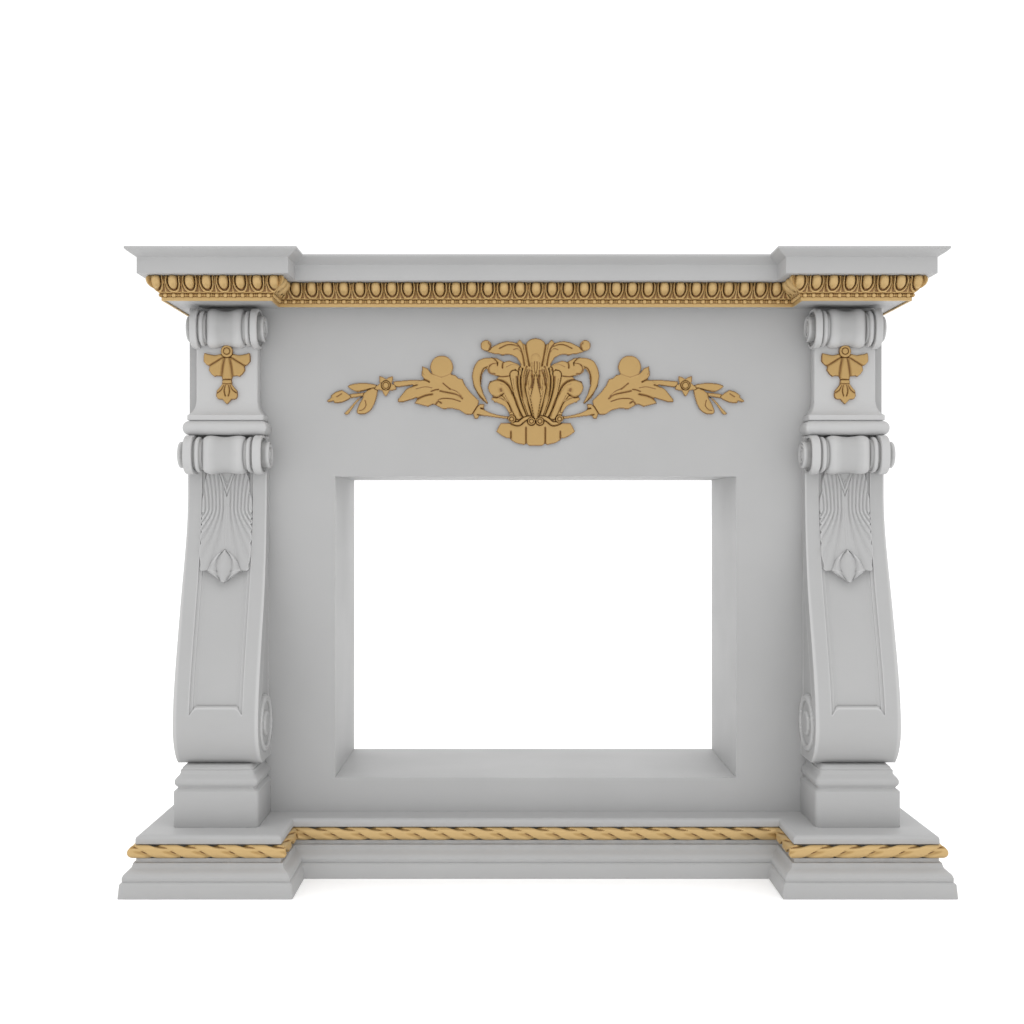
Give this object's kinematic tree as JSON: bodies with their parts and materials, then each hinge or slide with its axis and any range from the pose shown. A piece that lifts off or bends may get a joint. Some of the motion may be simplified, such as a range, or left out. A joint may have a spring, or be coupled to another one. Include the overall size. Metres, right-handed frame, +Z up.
{
  "type": "fireplace mantelpiece",
  "caption": "Painted classical chimneypiece with scroll consoles, a stepped cornice and base, gilt egg-and-dart and rope mouldings and a gilt acanthus spray over the firebox opening.",
  "frame": {"origin": "on the floor, under the middle of the bounding box", "axes": "+X to the right along the shelf as seen from the room, +Y back towards the chimney breast, +Z up"},
  "size_m": [1.54, 0.506, 1.2035],
  "materials": {
    "paint": "light grey paint, eggshell, slightly soft at the arrises",
    "gilt": "matt gilding over composition, brown glaze left in the hollows"
  },
  "bodies": {
    "root": {"base": "paint", "centre_spray": "gilt", "console_left": "paint", "console_right": "paint", "cornice_core": "paint", "egg_moulding_block_left": "gilt", "egg_moulding_block_right": "gilt", "egg_moulding_inner_left": "gilt", "egg_moulding_inner_right": "gilt", "egg_moulding_middle": "gilt", "egg_moulding_return_left": "gilt", "egg_moulding_return_right": "gilt", "frieze_console_left": "paint", "frieze_console_right": "paint", "front_panel": "paint", "lining_head": "paint", "lining_left": "paint", "lining_right": "paint", "lining_sill": "paint", "pedestal_left": "paint", "pedestal_right": "paint", "rope_block_left": "gilt", "rope_block_right": "gilt", "rope_inner_left": "gilt", "rope_inner_right": "gilt", "rope_middle": "gilt", "rope_return_left": "gilt", "rope_return_right": "gilt", "shelf": "paint", "shell_drop_left": "gilt", "shell_drop_right": "gilt", "side_board_left": "paint", "side_board_right": "paint"}
  },
  "joints": []
}
